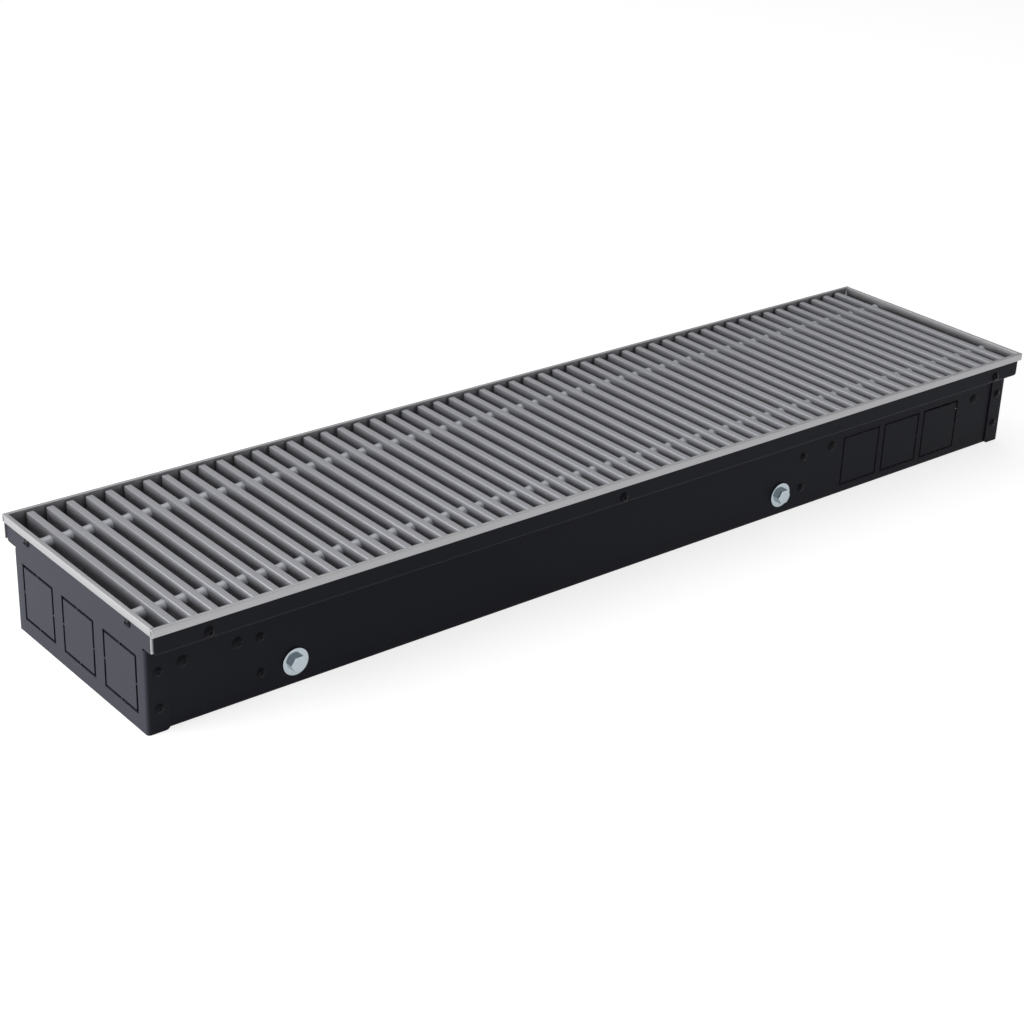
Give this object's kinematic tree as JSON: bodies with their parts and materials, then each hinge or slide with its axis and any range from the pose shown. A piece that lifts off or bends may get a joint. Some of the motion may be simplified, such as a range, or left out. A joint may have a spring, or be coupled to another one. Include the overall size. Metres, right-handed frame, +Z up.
{
  "type": "trench convector heater",
  "caption": "Long low floor-trench heater: black folded steel trough with break-out squares, aluminium edge trim, finned copper exchanger and a lift-out grille of cross slats on rods.",
  "frame": {"origin": "middle of the underside, on the floor that the trough stands on", "axes": "+X along the heater towards its connection end, +Y across it, +Z up to the grille"},
  "size_m": [1.0016, 0.2416, 0.099],
  "materials": {
    "casing_paint": "satin black powder coat",
    "black_fixings": "black coated steel",
    "trim_aluminium": "satin anodised",
    "grille_aluminium": "satin anodised",
    "seal_rubber": "matt",
    "plug_plastic": "matt moulded",
    "pad_plastic": "matt moulded",
    "galvanised_sheet": "galvanised",
    "zinc_plate": "bright zinc plated",
    "fin_aluminium": "rolled foil",
    "copper_tube": "drawn copper",
    "union_brass": "turned",
    "bleed_nickel": "nickel plated"
  },
  "bodies": {
    "casing": {"trough_body": "casing_paint", "end_plate_left": "casing_paint", "end_plate_right": "casing_paint", "end_plate_rivets": "black_fixings", "trim_front": "trim_aluminium", "trim_back": "trim_aluminium", "trim_left": "trim_aluminium", "trim_right": "trim_aluminium", "rim_screws": "black_fixings", "end_screws": "black_fixings", "seal_strip_front": "seal_rubber", "seal_strip_back": "seal_rubber", "wall_plugs": "plug_plastic", "cross_member_left": "galvanised_sheet", "cross_member_right": "galvanised_sheet", "cross_member_rivets": "black_fixings", "bearer_left": "galvanised_sheet", "bearer_right": "galvanised_sheet", "bearer_bolts": "zinc_plate", "bearer_washers": "zinc_plate", "bearer_nuts": "zinc_plate", "bearer_pads": "pad_plastic", "fin_pack": "fin_aluminium", "tube_plate_left": "galvanised_sheet", "tube_plate_right": "galvanised_sheet", "tube_front_lower": "copper_tube", "tube_front_upper": "copper_tube", "tube_back_lower": "copper_tube", "tube_back_upper": "copper_tube", "return_bend_front": "copper_tube", "return_bend_back": "copper_tube", "crossover_header": "union_brass", "supply_union": "union_brass", "return_union": "union_brass", "levelling_nuts": "zinc_plate"},
    "grille": {"grille_slats": "grille_aluminium", "grille_bobbins_front": "grille_aluminium", "grille_bobbins_back": "grille_aluminium", "grille_rod_front": "zinc_plate", "grille_rod_back": "zinc_plate", "grille_end_caps": "grille_aluminium"},
    "bleed_screw": {"bleed_screw": "bleed_nickel"},
    "levelling_screw_front_left": {"levelling_screw_front_left": "zinc_plate"},
    "levelling_screw_front_right": {"levelling_screw_front_right": "zinc_plate"},
    "levelling_screw_back_left": {"levelling_screw_back_left": "zinc_plate"},
    "levelling_screw_back_right": {"levelling_screw_back_right": "zinc_plate"}
  },
  "joints": [
    {"name": "grille_lift", "type": "slide", "parent": "casing", "child": "grille", "axis": [0, 0, 1], "range_m": [0, 0.12]},
    {"name": "bleed_turn", "type": "hinge", "parent": "casing", "child": "bleed_screw", "pos_m": [0.256, 0, 0.0545], "axis": [0, 0, 1], "range_deg": [0, 360]},
    {"name": "level_front_left", "type": "slide", "parent": "casing", "child": "levelling_screw_front_left", "axis": [0, 0, -1], "range_m": [0, 0.018]},
    {"name": "level_front_right", "type": "slide", "parent": "casing", "child": "levelling_screw_front_right", "axis": [0, 0, -1], "range_m": [0, 0.018]},
    {"name": "level_back_left", "type": "slide", "parent": "casing", "child": "levelling_screw_back_left", "axis": [0, 0, -1], "range_m": [0, 0.018]},
    {"name": "level_back_right", "type": "slide", "parent": "casing", "child": "levelling_screw_back_right", "axis": [0, 0, -1], "range_m": [0, 0.018]}
  ]
}
